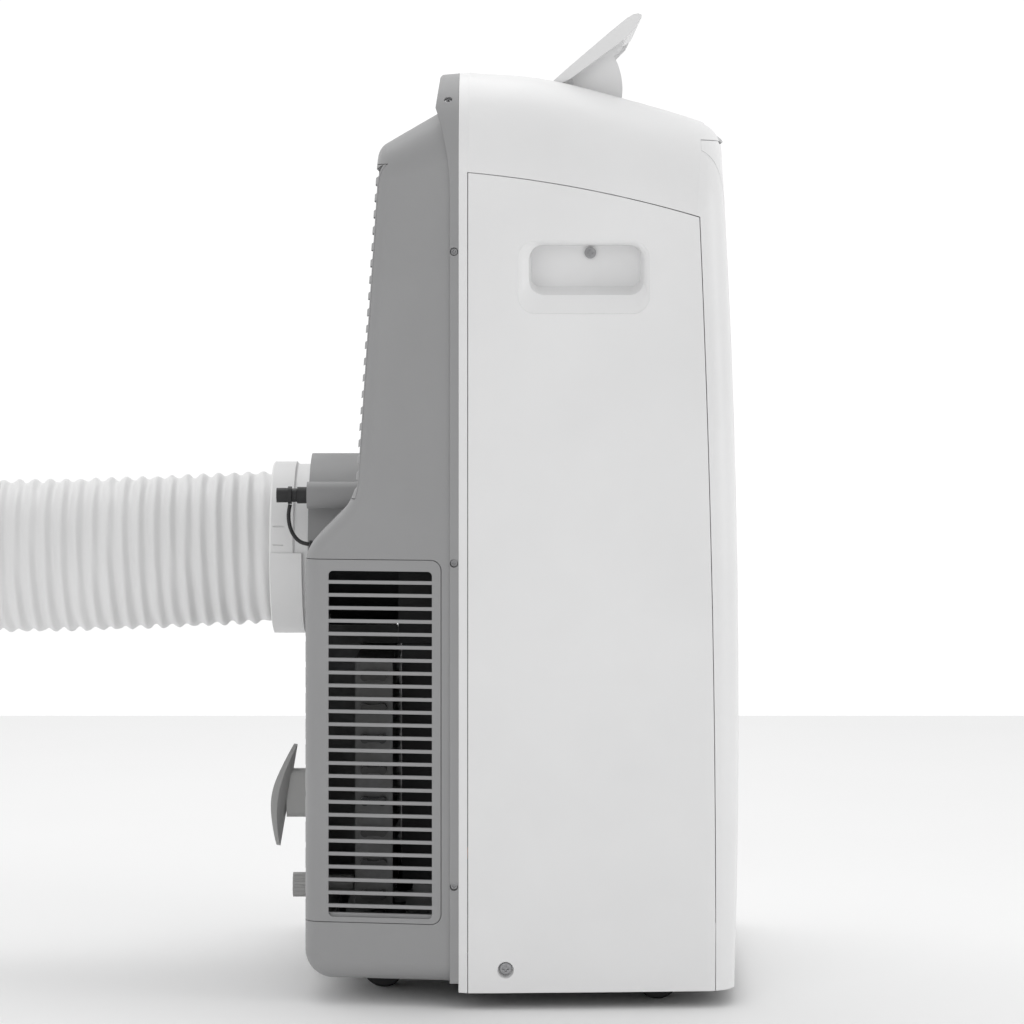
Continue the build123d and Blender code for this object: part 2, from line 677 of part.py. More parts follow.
def flange_screw_places():
    """Places and inward directions of the screws along the flange's left side."""
    places = [((-221.0, 45.6, z), (1, 0, 0)) for z in FLANGE_SCREW_Z]
    places.append(((ARCH_SCREW[0] - 2, 50.5, ARCH_SCREW[1] + 2), (0.7071, 0, -0.7071)))
    return places


def build_rear():
    outer = rear_body(0)
    inner = rear_body(WALL, RIM_Y - 4)
    ledge_face = rear_body(LEDGE, RIM_Y - 4)
    ledge_back = rear_body(LEDGE_BACK, RIM_Y - 4)

    boss = rod((0, 100, HOSE_Z), (0, 1, 0), BOSS_R, BOSS_Y - 100)
    boss_hollow = rod((0, 90, HOSE_Z), (0, 1, 0), BOSS_R - WALL, BOSS_Y - WALL - 90)
    stub_boss = rod((STUB_X, 118, STUB_Z), (0, 1, 0), STUB_BOSS_R, BOSS_Y - 118)

    shell = outer - inner
    zones = [
        (filter_region(SEAM), filter_region(LEDGE), block(-196, 196, 80, 200, 436, 655)),
        (grille_region(SEAM), grille_region(LEDGE), grille_region(-7.0)),
    ]
    right_zone = tuple(mirrored(zone) for zone in zones[1])
    zones.append(right_zone)
    for gap, rim, window in zones:
        shell = shell - gap
        step = (outer - ledge_back) & (rim - gap)
        seat = ((ledge_face - ledge_back) & rim) - window
        shell = shell + step + seat
    shell = shell + flange(FLANGE_BACK_Y)
    boss_body = (boss - boss_hollow) - inner
    shell = (shell - (boss_hollow & block(-100, 100, 90, 200, 200, 500))) + boss_body
    shell = shell + (stub_boss - boss - inner)
    shell = shell - rod((0, 100, HOSE_Z), (0, 1, 0), DUCT_R + 2.4, 100)
    shell = shell - rod((STUB_X, 80, STUB_Z), (0, 1, 0), 5.0, 100)
    for name in ("rear_left", "rear_right"):
        x, y = CASTORS[name]
        shell = shell - rod((x, y, 10), (0, 0, 1), CASTOR_TRAIL + CASTOR_WHEEL_R + 4.0, 20)
    for z in CLEAT_SCREWS:
        shell = shell - rod((CLEAT_X, 150, z), (0, 1, 0), 2.1, 30)
    shell = shell - rod((DRAIN_X, 120, DRAIN_Z), (0, 1, 0), 8.2, 60)
    shell = shell - rod((GLAND_X, 120, GLAND_Z), (0, 1, 0), 8.2, 60)
    holes = []
    for start, direction in flange_screw_places():
        holes.append(rod(start, direction, 3.2, 12.0))
        holes.append(rod(start, direction, 1.9, 18.0))
    for hole in holes:
        shell = shell - hole
        shell = shell - mirrored(hole)
    add("rear_housing", shell)

    screws = []
    for start, direction in flange_screw_places():
        screw = small_screw(start, direction, 5.5, 2.8, 1.6, 12.0)
        screws.append(screw)
        screws.append(mirrored(screw))
    for z in CLEAT_SCREWS:
        screws.append(small_screw((CLEAT_X, BACK_Y + 14.0, z), (0, -1, 0), 0.0, 3.3, 1.7, 24.0))
    add("housing_screws", group(*screws))

    panel_back = rear_body(2.5, RIM_Y - 4)
    filter_frame = (outer - panel_back) & filter_region(0)
    filter_frame = cut_filter_slots(filter_frame)
    add("upper_filter_grille", filter_frame)
    mesh_face = rear_body(6.4, RIM_Y - 4)
    mesh_back = rear_body(7.4, RIM_Y - 4)
    mesh = (mesh_face - mesh_back) & block(-186, 186, 80, 200, 440, 650)
    add("upper_filter_mesh", mesh)

    grille = (outer - panel_back) & grille_region(0)
    grille = grille - side_opening()
    for slot in back_slots():
        grille = grille - slot
    add("left_condenser_grille", grille)
    add("right_condenser_grille", mirrored(grille))


def side_opening():
    """The rounded opening in a grille's side, less the slats that cross it."""
    top = OPENING_Z0 + (SLAT_COUNT + 1) * SLAT_PITCH - SLAT_HEIGHT
    opening = block(-230, -190, OPENING_Y[0], OPENING_Y[1], OPENING_Z0, top)
    opening = opening.fillet(OPENING_CORNER_R, opening.edges().filter_by(Axis.X))
    for index in range(1, SLAT_COUNT + 1):
        z0 = OPENING_Z0 + index * SLAT_PITCH - SLAT_HEIGHT
        opening = opening - block(-231, -189, OPENING_Y[0] - 1, OPENING_Y[1] + 1, z0, z0 + SLAT_HEIGHT)
    return opening


def back_slots():
    """Rows of short slots in a grille's back, every other row shifted and run into the corner."""
    slots = []
    for index in range(SLAT_COUNT + 1):
        z0 = OPENING_Z0 + index * SLAT_PITCH + 1
        if index % 2 == 0:
            limits = [(-182, -148), (-144, -110)]
        else:
            limits = [(-190.5, -166), (-162, -128)]
        for x0, x1 in limits:
            slots.append(block(x0, x1, 150, 180, z0, z0 + 5))
    return slots


def cut_filter_slots(panel):
    """Rows of slots that fall outwards, between upright ribs, run into the panel's rounded ends."""
    for row in range(FILTER_ROWS):
        z0 = FILTER_Z[0] + 12.0 + row * FILTER_PITCH
        share = (z0 - FILTER_Z[0]) / (FILTER_Z[1] - FILTER_Z[0])
        half = FILTER_HALF[0] + share * (FILTER_HALF[1] - FILTER_HALF[0]) - FILTER_END
        width = (2 * half - FILTER_RIB * (FILTER_COLUMNS - 1)) / FILTER_COLUMNS
        high = z0 + FILTER_SLOPE * 30
        low = z0 - FILTER_SLOPE * 30
        outline = [(85, high), (145, low), (145, low + FILTER_SLOT), (85, high + FILTER_SLOT)]
        for column in range(FILTER_COLUMNS):
            x0 = -half + column * (width + FILTER_RIB)
            near_boss = z0 < HOSE_Z + FILTER_NOTCH_R + 6
            if near_boss and abs(x0 + width / 2) < FILTER_NOTCH_R + 12:
                continue
            panel = panel - prism_x(outline, x0, x0 + width)
    return panel


# ---- rear fittings ----
STUB_X = -88.0
STUB_Z = 397.0
STUB_BOSS_R = 11.0
CLEAT_X = -62.0
CLEAT_Z = 150.0
CLEAT_SCREWS = (CLEAT_Z - 10, CLEAT_Z + 10)
DRAIN_X = -82.0
DRAIN_Z = 77.0
GLAND_X = 70.0
GLAND_Z = 110.0


def small_screw(start, direction, depth, head_r, shank_r, length):
    """A screw sunk by depth from a starting point, with a cross recess in its head."""
    d = Vector(*direction)
    head_start = Vector(*start) + d * depth
    head_height = 1.8
    plane = Plane(origin=head_start, z_dir=d)
    screw = Solid.make_cylinder(head_r, head_height, plane)
    screw = screw + Solid.make_cylinder(shank_r, length, plane)
    bar = 0.55 * head_r
    for width, height in ((2 * bar, 0.35 * head_r), (0.35 * head_r, 2 * bar)):
        cut = Solid.make_box(width, height, 2.0, Plane(origin=(0, 0, 0)))
        cut = cut.translate(Vector(-width / 2, -height / 2, -0.8))
        screw = screw - plane.from_local_coords(cut)
    return screw


LEASH_ROUTE = [
    (STUB_X, 182.0, STUB_Z - 7.7),
    (STUB_X + 0.8, 183.4, STUB_Z - 14.0),
    (STUB_X + 1.5, 183.2, STUB_Z - 22.0),
    (STUB_X + 1.8, 181.0, STUB_Z - 30.0),
    (STUB_X + 1.5, 176.6, STUB_Z - 36.5),
    (STUB_X + 0.8, 171.4, STUB_Z - 39.6),
    (STUB_X, 166.5, STUB_Z - 40.2),
]


def build_drain():
    stub = rod((STUB_X, BOSS_Y, STUB_Z), (0, 1, 0), 6.8, 8.0) + rod(
        (STUB_X, 140, STUB_Z), (0, 1, 0), 4.9, BOSS_Y - 139)
    stub = stub - rod((STUB_X, 139, STUB_Z), (0, 1, 0), 3.05, 40)
    anchor = rod((STUB_X, 163.6, STUB_Z - 40.2), (0, 1, 0), 3.2, 2.5)
    add("drain_stub", group(stub, anchor))
    plug = rod((STUB_X, BOSS_Y + 8.2, STUB_Z), (0, 1, 0), 5.6, 4.4)
    plug = plug + rod((STUB_X, BOSS_Y + 12.6, STUB_Z), (0, 1, 0), 7.2, 3.0)
    plug = plug + rod((STUB_X, BOSS_Y + 15.6, STUB_Z), (0, 1, 0), 6.0, 9.4)
    plug = plug + rod((STUB_X, BOSS_Y - 4.0, STUB_Z), (0, 1, 0), 3.0, 14.0)
    add("drain_plug", plug)
    leash_points = [Vector(*p) for p in LEASH_ROUTE]
    path = FilletPolyline(*leash_points, radius=leash_radii(leash_points))
    start = Plane(origin=leash_points[0], z_dir=leash_points[1] - leash_points[0])
    leash = sweep(start * Circle(1.6), path=path)
    add("drain_leash", leash.solid())
    cap = rod((DRAIN_X, BACK_Y + 0.3, DRAIN_Z), (0, 1, 0), 10.0, 15.4)
    for index in range(12):
        angle = 2 * math.pi * index / 12
        x = DRAIN_X + 10.6 * math.cos(angle)
        z = DRAIN_Z + 10.6 * math.sin(angle)
        cap = cap - rod((x, BACK_Y + 2.3, z), (0, 1, 0), 1.6, 16)
    cap = cap + rod((DRAIN_X, BACK_Y - 9, DRAIN_Z), (0, 1, 0), 5.0, 10)
    add("lower_drain_cap", cap)
    spout = pipe((DRAIN_X, BACK_Y - 34, DRAIN_Z), (0, 1, 0), 8.0, 5.08, 34)
    add("lower_drain_spout", spout)
    gland = rod((GLAND_X, BACK_Y, GLAND_Z), (0, 1, 0), 11.0, 4.0)
    gland = gland + rod((GLAND_X, BACK_Y - 12, GLAND_Z), (0, 1, 0), 8.0, 12.5)
    gland = gland - rod((GLAND_X, BACK_Y - 13, GLAND_Z), (0, 1, 0), 4.0, 30)
    add("cord_gland", gland)


def leash_radii(points):
    """Each corner's arc is as large as its two runs allow."""
    radii = []
    for before, corner, after in zip(points, points[1:], points[2:]):
        first = corner - before
        second = after - corner
        turn = math.radians(first.get_angle(second))
        radii.append(0.45 * min(first.length, second.length) / math.tan(turn / 2))
    print("leash radii", [round(r, 1) for r in radii])
    return radii


LEAF_HALF = 17.0
LEAF_HEIGHT = 85.0
LEAF_HOLLOW_R = 19.0                 # the leaf's long edges flare away from the housing
LEAF_THICK = 3.0
LEAF_LEAN = 9.7                      # degrees
LEAF_MIDDLE = (187.2, 148.5)


def build_cleat():
    """The cord cleat: a foot on the rear housing, a shank and a hollow leaf with two horns."""
    foot = block(CLEAT_X - 12, CLEAT_X + 12, BACK_Y, BACK_Y + 3.2, CLEAT_Z - 23, CLEAT_Z + 23)
    section = rounded_wire((CLEAT_X, BACK_Y + 3, CLEAT_Z), (1, 0, 0), (0, 1, 0), 15, 40, 6)
    shank = Solid.extrude(Face(section), Vector(0, 19, 0))
    leaf = pipe((0, LEAF_HOLLOW_R, -50), (0, 0, 1), LEAF_HOLLOW_R + LEAF_THICK, LEAF_HOLLOW_R, 100)
    outline = Plane(origin=(0, -5, 0), x_dir=(1, 0, 0), z_dir=(0, 1, 0)) * Ellipse(LEAF_HALF, LEAF_HEIGHT / 2)
    leaf = leaf & Solid.extrude(outline.face(), Vector(0, LEAF_HOLLOW_R, 0))
    leaf = leaf.rotate(Axis.X, LEAF_LEAN).translate(Vector(CLEAT_X, *LEAF_MIDDLE))
    cleat = leaf + shank + foot
    for z in CLEAT_SCREWS:
        cleat = cleat - rod((CLEAT_X, BACK_Y - 1, z), (0, 1, 0), 1.9, 60)
        cleat = cleat - rod((CLEAT_X, BACK_Y + 12, z), (0, 1, 0), 3.6, 60)
    add("cord_cleat", cleat)


# ---- exhaust hose ----
ADAPTER_Y = BOSS_Y + 0.4
HOSE_SEAT_Y = ADAPTER_Y + 25.5       # where the hose starts inside the adapter


def ring_along_y(points, axis_z=HOSE_Z):
    """A ring about an axis along Y, from its outline as (distance out, Y)."""
    outline = Wire.make_polygon([Vector(0, y, axis_z + r) for r, y in points], close=True)
    return Solid.revolve(Face(outline), 360, Axis((0, 0, axis_z), (0, 1, 0)))


def build_adapter():
    """The collar that turns on the housing: a plain upper half and a prouder lower half."""
    start = ADAPTER_Y
    bore_r = HOSE_ROOT_R - 2.0
    cup_r = HOSE_R + 0.6
    adapter = ring_along_y([
        (DUCT_R + 2.0, start - 12.0), (DUCT_R + 2.0, start), (69.0, start), (69.0, start + 11.0),
        (COLLAR_R, start + 12.5), (COLLAR_R, start + 30.5), (COLLAR_R - 1.5, start + 32.0),
        (cup_r, start + 32.0), (cup_r, start + 24.0), (bore_r, start + 24.0), (bore_r, start - 12.0),
    ])
    cradle = ring_along_y([
        (67.5, start + 5.0), (CRADLE_R, start + 5.0), (CRADLE_R, start + 31.0), (67.5, start + 31.0),
    ])
    adapter = adapter + (cradle & block(-90, 90, 150, 220, 250, HOSE_Z - 1.5))
    grooves = pipe((0, start + 20.3, HOSE_Z), (0, 1, 0), 80.0, COLLAR_R - 0.9, 8.3)
    for z in (HOSE_Z + 5.0, HOSE_Z + 20.0):
        adapter = adapter - (grooves & block(-90, 90, 150, 220, z - 0.5, z + 0.5))
    add("hose_adapter", adapter)


def build_hose():
    crest, root = HOSE_R, HOSE_ROOT_R
    rings = int((HOSE_END_Y - HOSE_SEAT_Y) / HOSE_PITCH)
    pitch = (HOSE_END_Y - HOSE_SEAT_Y) / rings
    outline = []
    for index in range(rings):
        y = HOSE_SEAT_Y + index * pitch
        outline.append((root, y + 0.10 * pitch))
        outline.append((crest, y + 0.42 * pitch))
        outline.append((crest, y + 0.58 * pitch))
        outline.append((root, y + 0.90 * pitch))
    inside = [(r - HOSE_WALL, y) for r, y in reversed(outline)]
    sag = math.degrees(math.atan2(HOSE_DROP, HOSE_END_Y - HOSE_SEAT_Y))
    start_axis = Axis((0, HOSE_SEAT_Y, HOSE_Z), (1, 0, 0))
    add("exhaust_hose", ring_along_y(outline + inside).rotate(start_axis, -sag))


def build_nozzle():
    """The round window fitting on the hose's far end, level and as far down as the hose sags."""
    end = HOSE_END_Y
    step = end + 3.5
    tip = end + 11.0 + NOZZLE_LENGTH
    add("window_nozzle", ring_along_y([
        (HOSE_R + 0.8, end - 14.0), (HOSE_R + 4.0, end - 14.0), (HOSE_R + 4.0, end + 6.0),
        (NOZZLE_R + 7.0, end + 9.0), (NOZZLE_R, end + 11.0), (NOZZLE_R, tip),
        (NOZZLE_R - 2.4, tip), (NOZZLE_R - 2.4, step), (HOSE_R + 0.8, step),
    ], HOSE_Z - HOSE_DROP))


# ---- base, castors ----
def build_base():
    floor = block(-206, 206, -150, 40, PAN_Z, PAN_Z + 3) + block(-190, 190, 39, 142, PAN_Z, PAN_Z + 3)
    rim = block(-206, 206, -150, 40, PAN_Z, PAN_Z + 26) - block(-203.5, 203.5, -147.5, 41, PAN_Z, 90)
    rear_rim = block(-190, 190, 39, 142, PAN_Z, PAN_Z + 22) - block(-187.5, 187.5, 30, 139.5, PAN_Z, 90)
    bridge = block(-206, -187.5, 37.5, 40, PAN_Z, PAN_Z + 22)
    pan = floor + rim + rear_rim + bridge + mirrored(bridge)
    for x, y in CASTORS.values():
        pan = pan + rod((x, y, PAN_Z), (0, 0, 1), CASTOR_STEM_R + 4.0, 26)
        pan = pan - rod((x, y, PAN_Z - 1), (0, 0, 1), CASTOR_STEM_R + 0.06, 25)
    for x, y in FOOT_PLACES:
        pan = pan + rod((x, y, PAN_Z + 2), (0, 0, 1), 10.0, 6.0)
    add("base_pan", pan)


COMPRESSOR_XY = (-88.0, -62.0)
FOOT_PLACES = [
    (COMPRESSOR_XY[0] + 78 * math.cos(a), COMPRESSOR_XY[1] + 78 * math.sin(a))
    for a in (math.radians(90), math.radians(210), math.radians(330))
]


def build_castors():
    for name, (x, y) in CASTORS.items():
        axle_y = y + CASTOR_TRAIL
        axle_z = CASTOR_WHEEL_R
        stem = rod((x, y, PAN_Z - 3.6), (0, 0, 1), CASTOR_STEM_R, 26)
        plate = rod((x, y, PAN_Z - 3.6), (0, 0, 1), 12.0, 3.2)
        hood = rod((x - 2.2, axle_y, axle_z), (1, 0, 0), 15.0, 4.4)
        neck = block(x - 2.2, x + 2.2, y - 7, axle_y + 4, axle_z + 6, PAN_Z - 0.6)
        axle = rod((x - 13.0, axle_y, axle_z), (1, 0, 0), 3.0, 26)
        add("castor_fork_" + name, stem + plate + hood + neck + axle)
        wheels = []
        for side in (-1, 1):
            x0 = x + side * 2.8
            wheel = rod((x0, axle_y, axle_z), (side, 0, 0), CASTOR_WHEEL_R, 8.0)
            wheel = wheel.fillet(2.0, wheel.edges().filter_by(GeomType.CIRCLE))
            wheel = wheel - rod((x0 - side, axle_y, axle_z), (side, 0, 0), 3.06, 12)
            wheels.append(wheel)
        add("castor_wheels_" + name, group(*wheels))


# ---- refrigeration and air handling ----
def blower_wheel(centre, outer, inner, y0, y1, blades, bore):
    """A centrifugal wheel about Y: a back disc, a front ring, a hub and curved blades."""
    x, z = centre
    wheel = pipe((x, y0, z), (0, 1, 0), outer, bore, 2.4)
    wheel = wheel + pipe((x, y1 - 2.4, z), (0, 1, 0), outer, inner, 2.4)
    wheel = wheel + pipe((x, y0, z), (0, 1, 0), bore + 7.0, bore, 22.0)
    for index in range(blades):
        angle = 2 * math.pi * index / blades
        lead = angle + 0.16
        points = []
        tip = outer - 0.6
        for radius, turn in ((inner, lead), (tip, angle), (tip, angle + 0.022), (inner, lead + 0.03)):
            points.append((x + radius * math.cos(turn), z + radius * math.sin(turn)))
        wheel = wheel + prism_y(points, y0 + 1.0, y1 - 1.0)
    return wheel


EVAP_XZ = (0.0, 545.0)
EVAP_WHEEL_R = 88.0
COND_XZ = (0.0, 178.0)
COND_WHEEL_R = 76.0


def coil_ends(half, tube_y, first_z, rows):
    """The return bends at both ends of a coil: two tube stubs and a bridge in each row."""
    bends = []
    near, far = tube_y
    for row in range(rows):
        z = first_z + row * 25.0
        near_stub = rod((-half + 0.5, near, z), (-1, 0, 0), 3.5, 9.5)
        far_stub = rod((-half + 0.5, far, z), (-1, 0, 0), 3.5, 9.5)
        bends.append(near_stub + far_stub + block(-half - 9, -half - 5, near - 2, far + 2, z - 2.5, z + 2.5))
    left = Compound(bends)
    return left + mirrored(left)


def build_evaporator_side():
    x, z = EVAP_XZ
    outer = block(-138, 138, -124, -14, 440, 639.4)
    hollow = rod((x, -121.5, z), (0, 1, 0), EVAP_WHEEL_R + 12, 105)
    throat = block(-EVAP_WHEEL_R - 12, 134, -121.5, -16.5, z, 700)
    scroll = outer - hollow - throat
    trim = block(-139, -104, -125, -13, 430, 500) + block(104, 139, -125, -13, 430, 500)
    scroll = scroll - trim
    scroll = scroll - rod((x, -20, z), (0, 1, 0), EVAP_WHEEL_R - 16, 20)
    scroll = scroll - rod((x, -130, z), (0, 1, 0), 34, 20)
    add("evaporator_scroll", scroll)
    wheel = blower_wheel(EVAP_XZ, EVAP_WHEEL_R, EVAP_WHEEL_R - 16, -112, -24, 30, 4.05)
    add("evaporator_blower", wheel)
    motor = rod((x, -160, z), (0, 1, 0), 32, 36)
    motor = motor + pipe((x, -126.8, z), (0, 1, 0), 46, 33, 2.6)
    motor = motor + pipe((x, -126.8, z), (0, 1, 0), 33.5, 31, 2.6)
    motor = motor + rod((x, -125, z), (0, 1, 0), 4.0, 38)
    add("evaporator_motor", motor)

    coil = block(-175, 175, 40, 78, 436, 660) + coil_ends(175, (52, 66), 448, 9)
    add("evaporator_coil", coil)

    tray = block(-196, 196, -150, 100, 414, 416.5)
    tray = tray + block(-190, 190, 28, 96, 416.5, 432) - block(-187.5, 187.5, 30.5, 93.5, 416.5, 440)
    tray = tray - block(-40, 40, -121, -60, 405, 440)
    add("drain_tray", tray)


def build_condenser_side():
    x, z = COND_XZ
    coil = block(-150, 150, 96, 126, 70, 268) + coil_ends(150, (104, 118), 80, 8)
    divider = block(-1.5, 1.5, 125, 161, 72, 268) + block(-1.5, 1.5, 96, 161, 267, 283.5)
    add("condenser_coil", coil + divider)

    scroll = block(-96, 96, 12, 90, 80, 276)
    scroll = scroll - rod((x, 14.5, z), (0, 1, 0), COND_WHEEL_R + 10, 73)
    scroll = scroll - block(-COND_WHEEL_R - 10, 70, 14.5, 87.5, z, 300)
    scroll = scroll - rod((x, 80, z), (0, 1, 0), COND_WHEEL_R - 14, 20)
    scroll = scroll - rod((x, 0, z), (0, 1, 0), 32, 30)
    add("condenser_scroll", scroll)
    wheel = blower_wheel(COND_XZ, COND_WHEEL_R, COND_WHEEL_R - 14, 22, 80, 26, 4.05)
    add("condenser_blower", wheel)
    motor = rod((x, -26, z), (0, 1, 0), 30, 36)
    motor = motor + pipe((x, 9.2, z), (0, 1, 0), 44, 29, 2.6)
    motor = motor + rod((x, 9, z), (0, 1, 0), 4.0, 32)
    add("condenser_motor", motor)

    duct = block(-96, 96, 12, 93, 276.2, 424) - block(-93, 93, 14.5, 90.5, 270, 421.5)
    duct = duct - rod((0, 80, HOSE_Z), (0, 1, 0), DUCT_R - 2.2, 40)
    sleeve = pipe((0, 92, HOSE_Z), (0, 1, 0), DUCT_R, DUCT_R - 2.2, 60)
    add("exhaust_duct", (duct + sleeve) & block(-100, 100, 0, 160, 270, 413.6))


def bent_pipe(points, radius, bend):
    path = FilletPolyline(*points, radius=bend)
    first = Vector(*points[0])
    second = Vector(*points[1])
    profile = Plane(origin=first, z_dir=second - first) * Circle(radius)
    return sweep(profile, path=path).solid()


def build_refrigeration():
    x, y = COMPRESSOR_XY
    feet = []
    base = PAN_Z + 8.0
    can = rod((x, y, base + 16), (0, 0, 1), 58, 190)
    can = can.fillet(26, can.edges().filter_by(GeomType.CIRCLE))
    foot_plate = rod((x, y, base + 10), (0, 0, 1), 46, 12)
    for fx, fy in FOOT_PLACES:
        foot_plate = foot_plate + rod((fx, fy, base + 10), (0, 0, 1), 11, 3)
        arm_angle = math.degrees(math.atan2(fy - y, fx - x))
        arm = block(0, 78, -9, 9, base + 10, base + 13).rotate(Axis.Z, arm_angle).translate(Vector(x, y, 0))
        foot_plate = foot_plate + arm
    for fx, fy in FOOT_PLACES:
        foot_plate = foot_plate - rod((fx, fy, base), (0, 0, 1), 5.0, 20)
        foot = pipe((fx, fy, base), (0, 0, 1), 10.0, 3.0, 9.8)
        feet.append(foot)
    add("compressor", can + foot_plate)
    add("compressor_grommets", group(*feet))

    receiver = rod((x + 88, y - 20, base + 40), (0, 0, 1), 24, 120)
    receiver = receiver.fillet(12, receiver.edges().filter_by(GeomType.CIRCLE))
    strap = block(x + 57.6, x + 70, y - 26, y - 14, base + 90, base + 104)
    add("accumulator", receiver + strap)

    suction = bent_pipe([
        (x + 88, y - 20, base + 160.2), (x + 88, y - 20, base + 196), (x + 140, y - 20, base + 196),
        (x + 140, y + 30, base + 196), (x + 140, y + 30, base + 350),
    ], 5.0, 12.0)
    discharge = bent_pipe([
        (x, y, base + 206.2), (x, y, base + 232), (x - 60, y, base + 232), (x - 60, y + 92, base + 232),
        (x - 60, y + 92, base + 60), (x - 60, y + 118, base + 60),
    ], 4.0, 12.0)
    add("refrigerant_pipes", group(suction, discharge))

    box_shell = block(96, 190, -140, -70, 250, 390) - block(98, 188, -138, -72, 252, 388)
    box_shell = box_shell - rod((143, -80, 300), (0, 1, 0), 8.0, 20)
    add("electrical_box", box_shell)
    capacitor = rod((120, -105, 252.2), (0, 0, 1), 18, 80)
    add("run_capacitor", capacitor)
    pump = block(120, 170, -70, -10, PAN_Z + 3.2, PAN_Z + 42) + rod((145, -40, PAN_Z + 42), (0, 0, 1), 16, 26)
    add("condensate_pump", pump)


def build_panel_screws():
    screws = []
    for side in (-1, 1):
        handle = small_screw((side * 194.95, *HANDLE_SCREW), (-side, 0, 0), 0.0, 4.6, 2.0, 14.0)
        lower = small_screw((side * 215.0, *LOWER_SCREW), (-side, 0, 0), 0.0, 4.6, 2.0, 14.0)
        screws.extend([handle, lower])
    add("panel_screws", group(*screws))


build_front()
build_controls()
build_louvre()
build_outlet()
build_rear()
build_drain()
build_cleat()
build_adapter()
build_hose()
build_nozzle()
build_base()
build_castors()
build_evaporator_side()
build_condenser_side()
build_refrigeration()
build_panel_screws()

for node_name, node_shape in nodes.items():
    export_step(node_shape, "parts/" + node_name + ".step")
print(len(nodes), "nodes written")
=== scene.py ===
import json
import math

import bpy
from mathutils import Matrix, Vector


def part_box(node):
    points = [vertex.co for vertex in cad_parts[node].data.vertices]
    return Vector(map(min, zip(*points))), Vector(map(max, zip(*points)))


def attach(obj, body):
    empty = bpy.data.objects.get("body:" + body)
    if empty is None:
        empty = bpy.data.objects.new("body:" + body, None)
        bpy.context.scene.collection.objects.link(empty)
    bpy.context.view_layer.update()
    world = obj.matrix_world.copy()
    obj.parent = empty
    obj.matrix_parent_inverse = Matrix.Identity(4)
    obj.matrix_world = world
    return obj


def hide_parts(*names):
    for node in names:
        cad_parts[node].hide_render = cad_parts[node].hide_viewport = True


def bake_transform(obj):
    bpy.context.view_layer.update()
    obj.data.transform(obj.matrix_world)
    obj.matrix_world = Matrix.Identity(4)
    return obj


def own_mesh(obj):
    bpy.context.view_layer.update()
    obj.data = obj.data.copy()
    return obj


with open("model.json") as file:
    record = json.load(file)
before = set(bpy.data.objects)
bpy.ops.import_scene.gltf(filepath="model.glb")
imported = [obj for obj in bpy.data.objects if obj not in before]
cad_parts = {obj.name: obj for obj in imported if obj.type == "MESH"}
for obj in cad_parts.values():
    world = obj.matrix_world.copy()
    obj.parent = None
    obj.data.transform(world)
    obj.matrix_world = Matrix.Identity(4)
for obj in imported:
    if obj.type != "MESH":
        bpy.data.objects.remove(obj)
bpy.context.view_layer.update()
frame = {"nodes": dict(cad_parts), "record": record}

NODES = frame["nodes"]
MM = 0.001

# the exhaust hose: it starts level with the housing's boss and sags down to the nozzle
HOSE_LOW, HOSE_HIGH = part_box("exhaust_hose")
HOSE_CREST = (HOSE_HIGH.x - HOSE_LOW.x) / 2
HOSE_AXIS_Z = HOSE_HIGH.z - HOSE_CREST
NOZZLE_AXIS_Z = sum(corner.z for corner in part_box("window_nozzle")) / 2

# camera: level, square to the unit's left side, with the view shifted down to frame it
CAMERA_DISTANCE = 3.222
CAMERA_HEIGHT = 0.557
LENS_MM = 134.37
SENSOR_MM = 36.0
VIEW_SHIFT_Y = -0.207


# ---- node helpers ----
def new_material(name):
    material = bpy.data.materials.new(name)
    material.use_nodes = True
    tree = material.node_tree
    return material, tree, tree.nodes["Principled BSDF"]


def add_node(tree, kind, **settings):
    node = tree.nodes.new(kind)
    for key, value in settings.items():
        if key in node.inputs:
            node.inputs[key].default_value = value
        else:
            setattr(node, key, value)
    return node


def noise(tree, coords, scale, detail=3.0, roughness=0.5):
    node = add_node(tree, "ShaderNodeTexNoise", Scale=scale, Detail=detail, Roughness=roughness)
    tree.links.new(coords, node.inputs["Vector"])
    return node.outputs["Fac"]


def map_range(tree, value, low, high, from_low=0.3, from_high=0.7):
    node = add_node(tree, "ShaderNodeMapRange")
    node.inputs["From Min"].default_value = from_low
    node.inputs["From Max"].default_value = from_high
    node.inputs["To Min"].default_value = low
    node.inputs["To Max"].default_value = high
    tree.links.new(value, node.inputs["Value"])
    return node.outputs["Result"]


def tint(colour, factor):
    return tuple(min(1.0, c * factor) for c in colour[:3]) + (1.0,)


def mix_colours(tree, factor, first, second):
    node = add_node(tree, "ShaderNodeMix", data_type="RGBA")
    tree.links.new(factor, node.inputs["Factor"])
    node.inputs["A"].default_value = first
    node.inputs["B"].default_value = second
    return node.outputs["Result"]


def object_coords(tree):
    return add_node(tree, "ShaderNodeTexCoord").outputs["Object"]


def rounded_normal(tree, radius):
    """Softens the look of sharp moulded edges."""
    node = add_node(tree, "ShaderNodeBevel", samples=4)
    node.inputs["Radius"].default_value = radius
    return node.outputs["Normal"]


def bump(tree, height, strength, distance, normal=None):
    node = add_node(tree, "ShaderNodeBump", Strength=strength, Distance=distance)
    tree.links.new(height, node.inputs["Height"])
    if normal is not None:
        tree.links.new(normal, node.inputs["Normal"])
    return node.outputs["Normal"]


